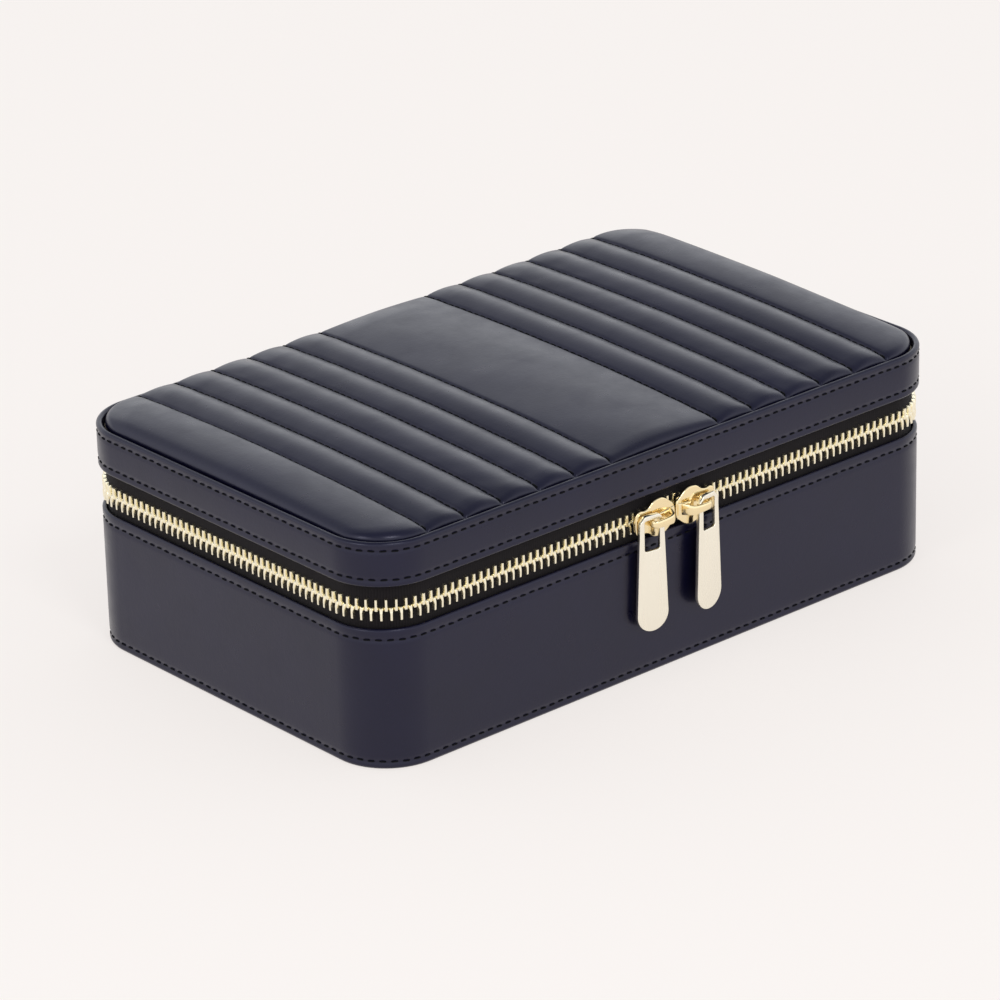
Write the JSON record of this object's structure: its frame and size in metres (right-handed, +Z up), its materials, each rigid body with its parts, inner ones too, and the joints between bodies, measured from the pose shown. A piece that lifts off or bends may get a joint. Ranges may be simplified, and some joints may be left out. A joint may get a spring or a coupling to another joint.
{
  "type": "jewellery case",
  "caption": "Rectangular leather jewellery case with rounded corners, a quilted hinged lid and a zip round it with hanging pulls.",
  "frame": {"origin": "centre of the case's footprint on the surface it rests on", "axes": "+X along the case's length, -Y towards the front, where the zip pulls hang, +Z up"},
  "size_m": [0.22, 0.1408, 0.072],
  "materials": {
    "leather": "semi-gloss navy smooth leather",
    "board": "grey-brown pressed board",
    "suede": "pale grey suede-like cloth",
    "zip_tape": "black woven tape",
    "zip_teeth": "polished pale gold",
    "slider_gold": "polished gold plate",
    "pull_gold": "satin champagne gold plate",
    "mirror": "silvered glass"
  },
  "bodies": {
    "base": {"base_bottom_leather": "leather", "base_wall_leather": "leather", "base_floor_board": "board", "base_wall_board": "board", "base_floor_lining": "suede", "base_wall_lining": "suede", "ring_roll_1": "suede", "ring_roll_2": "suede", "ring_roll_3": "suede", "ring_roll_4": "suede", "ring_roll_5": "suede", "ring_roll_6": "suede", "ring_roll_7": "suede", "long_divider": "suede", "back_divider_left": "suede", "back_divider_right": "suede", "front_divider_left": "suede", "front_divider_right": "suede", "zip_tape_lower": "zip_tape", "zip_teeth_lower": "zip_teeth", "zip_stop_lower_left": "zip_teeth", "zip_stop_lower_right": "zip_teeth", "hinge_leather": "leather", "hinge_lining": "suede"},
    "lid": {"lid_wall_leather": "leather", "lid_piping": "leather", "lid_quilted_pad": "leather", "lid_top_board": "board", "lid_wall_board": "board", "lid_ceiling_lining": "suede", "lid_wall_lining": "suede", "lid_mirror": "mirror", "mirror_frame": "suede", "necklace_hook_1": "slider_gold", "necklace_hook_2": "slider_gold", "necklace_hook_3": "slider_gold", "necklace_pocket": "suede", "zip_tape_upper": "zip_tape", "zip_teeth_upper": "zip_teeth", "zip_stop_upper_left": "zip_teeth", "zip_stop_upper_right": "zip_teeth"},
    "left_slider": {"slider_left": "slider_gold"},
    "right_slider": {"slider_right": "slider_gold"},
    "left_pull": {"pull_left": "pull_gold"},
    "right_pull": {"pull_right": "pull_gold"}
  },
  "joints": [
    {"name": "lid_hinge", "type": "hinge", "parent": "base", "child": "lid", "pos_m": [0, 0.067, 0.0483], "axis": [-1, 0, 0], "range_deg": [0, 105], "deforming": ["hinge_leather", "hinge_lining"]},
    {"name": "left_slider_slide", "type": "slide", "parent": "base", "child": "left_slider", "axis": [-1, 0, 0], "range_m": [0, 0.076]},
    {"name": "right_slider_slide", "type": "slide", "parent": "base", "child": "right_slider", "axis": [1, 0, 0], "range_m": [0, 0.076]},
    {"name": "left_pull_swing", "type": "hinge", "parent": "left_slider", "child": "left_pull", "pos_m": [-0.011, -0.07058, 0.0483], "axis": [0, 1, 0], "range_deg": [-8, 90]},
    {"name": "right_pull_swing", "type": "hinge", "parent": "right_slider", "child": "right_pull", "pos_m": [0.011, -0.07058, 0.0483], "axis": [0, -1, 0], "range_deg": [-8, 90]}
  ]
}
